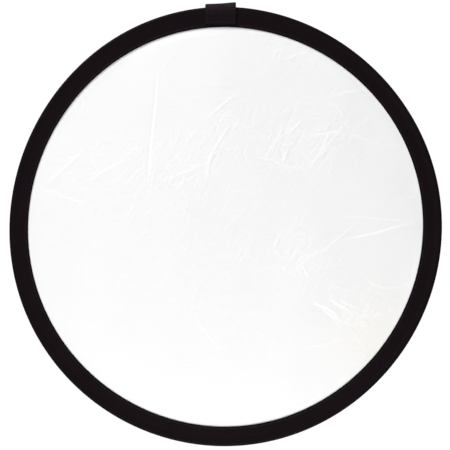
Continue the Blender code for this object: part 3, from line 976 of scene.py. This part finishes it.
def strap_grid(inset):
    """Points of the strap's outside (inset 0) or inside, by place along it and across it."""
    path = np.array(strap_path())
    tangent = np.gradient(path, axis=0)
    tangent /= np.linalg.norm(tangent, axis=1, keepdims=True)
    inward = np.stack([tangent[:, 1], -tangent[:, 0]], -1)
    run = np.concatenate([[0], np.cumsum(np.linalg.norm(np.diff(path, axis=0), axis=1))])
    width = TAB_HIGH.x - TAB_LOW.x
    rim = np.array([0, 0.0004, 0.0010])
    across = np.concatenate([rim, np.linspace(SELVAGE, width - SELVAGE, 70), width - rim[::-1]])
    edge = np.minimum(across, width - across)
    thin = EDGE_THINNING * (1 - smooth_step(edge, 0, EDGE_WIDTH))
    thin = thin + GROOVE_DEPTH * np.exp(-((edge - SELVAGE) / GROOVE_WIDTH) ** 2)
    middle = (TAB_LOW.x + TAB_HIGH.x) / 2
    spots = np.zeros((len(path), len(across), 3))
    top = path[:, 1].max()
    topness = smooth_step(path[:, 1], top - SLOPED_TOP, top)
    x = TAB_LOW.x + across
    dip = TOP_DIP * np.sin(np.pi * across / width) ** 2
    depth = thin + (TAB_THICKNESS - 2 * thin if inset else 0.0)
    for i, ((y, z), (in_y, in_z)) in enumerate(zip(path, inward)):
        spots[i, :, 0] = x
        spots[i, :, 1] = y + in_y * depth
        spots[i, :, 2] = z + in_z * depth + topness[i] * ((x - middle) * TAB_SLOPE - dip)
    return spots, run, across


WEBBING_DARK = (0.0032, 0.0018, 0.0030)
WEBBING_LIGHT = (0.0112, 0.0068, 0.0102)
# The last colour is a painted highlight, for the band under the top fold.
WEBBING_HIGHLIGHT = (0.026, 0.017, 0.020)
webbing = Finish("black_webbing", Metallic=0.0, Specular_IOR_Level=0.06, IOR=1.47)
place = webbing.place()
run, side = webbing.attribute("run"), webbing.attribute("across")
weft = webbing.wave(run, WEB_PITCH)
warp = webbing.wave(side, 0.0013, weft * 3.1)
fuzz = webbing.noise(place, 900, 3, 0.6)
# Painted highlight: patches of a lighter colour in a band under the top fold.
highlight_band = webbing.attribute("worn")
plain = webbing.between(fuzz * 0.5 + warp * 0.4, WEBBING_DARK, WEBBING_LIGHT)
patches = (webbing.noise(place, 260, 3, 0.6) * 1.6 - 0.25).maths("MULTIPLY", highlight_band, clamp=True)
webbing.drive("Base Color", webbing.between(patches, plain, WEBBING_HIGHLIGHT))
webbing.drive("Roughness", 0.40 + fuzz * 0.2)
webbing.bump(warp * 0.6 + weft * 0.3 + fuzz * 0.2, 0.00016)

outside, run, across = strap_grid(0)
inside, _, _ = strap_grid(1)
ring = np.concatenate([outside, inside[:, ::-1]], 1)
rows, width = ring.shape[:2]
faces = grid_faces(rows, width, around=True)
faces += [list(range(width))[::-1], list(range((rows - 1) * width, rows * width))]
mesh = bpy.data.meshes.new("tab_webbing")
mesh.from_pydata(ring.reshape(-1, 3).tolist(), [], faces)
runs = np.repeat(run[:, None], width, 1)
acrosses = np.repeat(np.concatenate([across, across[::-1]])[None, :], rows, 0)
height = ring[..., 2]
# A painted highlight: the band just under the fold at the top is made lighter, less so at the fold's very
# top. Below is the distance down from it.
below = height.max(0)[None, :] - height
worn = (1 - smooth_step(below, 0.003, 0.014)) * (0.35 + 0.65 * smooth_step(below, 0.0006, 0.0022))
add_layers(mesh, {"run": runs, "across": acrosses, "worn": worn})
turned_out = bmesh.new()
turned_out.from_mesh(mesh)
bmesh.ops.recalc_face_normals(turned_out, faces=turned_out.faces)
turned_out.to_mesh(mesh)
turned_out.free()
mesh.shade_smooth()
mesh.set_sharp_from_angle(angle=math.radians(50))
mesh.materials.append(webbing.material)
strap = bpy.data.objects.new("tab_webbing", mesh)
bpy.context.collection.objects.link(strap)
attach(strap, "centre")
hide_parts("tab_strap")

# The tab's side seams, front and back, and the row that closes its lower end.
SIDE_SEAMS = (0.0022, 0.0370)
END_SEAM = 0.0022
STAND_OFF = 0.00004
lines = []
outline = np.array(strap_path())
front_leg = outline[outline[:, 0] < -0.001]
for sign in (1, -1):
    leg = front_leg * (sign, 1)
    leg = leg[leg[:, 1] < leg[:, 1].max() - 0.004]
    leg = leg[leg[:, 1] > TAB_BOTTOM + 0.002]
    for inset in SIDE_SEAMS:
        x = TAB_LOW.x + inset
        lines.append([(x, y - sign * STAND_OFF, z) for y, z in leg])
    y = -sign * (TAB_LEG + STAND_OFF)
    z = TAB_BOTTOM + END_SEAM
    lines.append([(TAB_LOW.x + share, y, z) for share in np.linspace(*SIDE_SEAMS, 12)])
tab_seam = sew("tab_seams", lines)
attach(tab_seam, "centre")
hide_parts("tab_stitching")


# ---------------------------------------------------------------------------
# The studio: a pale floor under the panel, a white surround, a broad lamp at the
# upper left, a low one in front, and a long lens square on to the panel's middle.
# ---------------------------------------------------------------------------
FLOOR_DROP = 1.35
floor_z = cad_box[0][2] - FLOOR_DROP
floor_mesh = bpy.data.meshes.new("floor")
floor_corners = [(-2.2, -2.6), (2.2, -2.6), (2.2, 2.2), (-2.2, 2.2)]
floor_mesh.from_pydata([(x, y, floor_z) for x, y in floor_corners], [], [(0, 1, 2, 3)])
floor = bpy.data.objects.new("floor", floor_mesh)
bpy.context.collection.objects.link(floor)
paper = Finish("studio_paper", Metallic=0.0)
fibre = paper.noise(paper.place(), 60, 3)
paper.drive("Base Color", paper.between(fibre, (0.86, 0.86, 0.86), (0.90, 0.90, 0.90)))
paper.drive("Roughness", 0.8 + fibre * 0.1)
floor_mesh.materials.append(paper.material)

world = bpy.data.worlds.new("white_surround")
world.use_nodes = True
nodes, links = world.node_tree.nodes, world.node_tree.links
surround = nodes["Background"]
surround.inputs["Color"].default_value = (0.99, 0.99, 1.0, 1)
outlook = nodes.new("ShaderNodeTexCoord")
heading = nodes.new("ShaderNodeSeparateXYZ")
links.new(outlook.outputs["Generated"], heading.inputs[0])
# The surround is dimmer in front of the panel than behind it.
glow = nodes.new("ShaderNodeMapRange")
glow.interpolation_type = "SMOOTHSTEP"
for socket, value in (("From Min", -0.1), ("From Max", 0.9), ("To Min", 0.25), ("To Max", 0.95)):
    glow.inputs[socket].default_value = value
links.new(heading.outputs["Y"], glow.inputs["Value"])
links.new(glow.outputs["Result"], surround.inputs["Strength"])
# Seen straight on, it is plain white.
seen = nodes.new("ShaderNodeBackground")
seen.inputs["Color"].default_value = (1, 1, 1, 1)
seen.inputs["Strength"].default_value = 1.02
rays = nodes.new("ShaderNodeLightPath")
either = nodes.new("ShaderNodeMixShader")
links.new(rays.outputs["Is Camera Ray"], either.inputs["Fac"])
links.new(surround.outputs["Background"], either.inputs[1])
links.new(seen.outputs["Background"], either.inputs[2])
links.new(either.outputs["Shader"], nodes["World Output"].inputs["Surface"])
bpy.context.scene.world = world

PANEL_MIDDLE = Vector((0.0, 0.0, MIDDLE_Z))


def lamp(name, spot, size, watts):
    """A square lamp at a spot counted from the panel's middle, which it faces."""
    light = bpy.data.lights.new(name, "AREA")
    light.size = size
    light.energy = watts
    held = bpy.data.objects.new(name, light)
    bpy.context.collection.objects.link(held)
    held.location = PANEL_MIDDLE + Vector(spot)
    held.rotation_euler = (PANEL_MIDDLE - held.location).to_track_quat("-Z", "Y").to_euler()


lamp("upper_left", (-0.8, -0.8, 1.8), 0.5, 46)
lamp("low_front", (0.0, -1.0, -1.4), 0.5, 20.5)
lamp("behind", (1.6, 1.6, 1.4), 1.2, 40)

scene = bpy.context.scene
scene.view_settings.view_transform = "Standard"
lens = bpy.data.cameras.new("camera")
lens.lens = 190
lens.sensor_width = 36
camera = bpy.data.objects.new("camera", lens)
bpy.context.collection.objects.link(camera)
FRAME_WIDTH = 0.5786
DISTANCE = FRAME_WIDTH * lens.lens / lens.sensor_width
camera.location = (-0.0003, -DISTANCE, MIDDLE_Z + 0.0025)
camera.rotation_euler = (math.radians(90), 0, 0)
scene.camera = camera

bpy.context.view_layer.update()
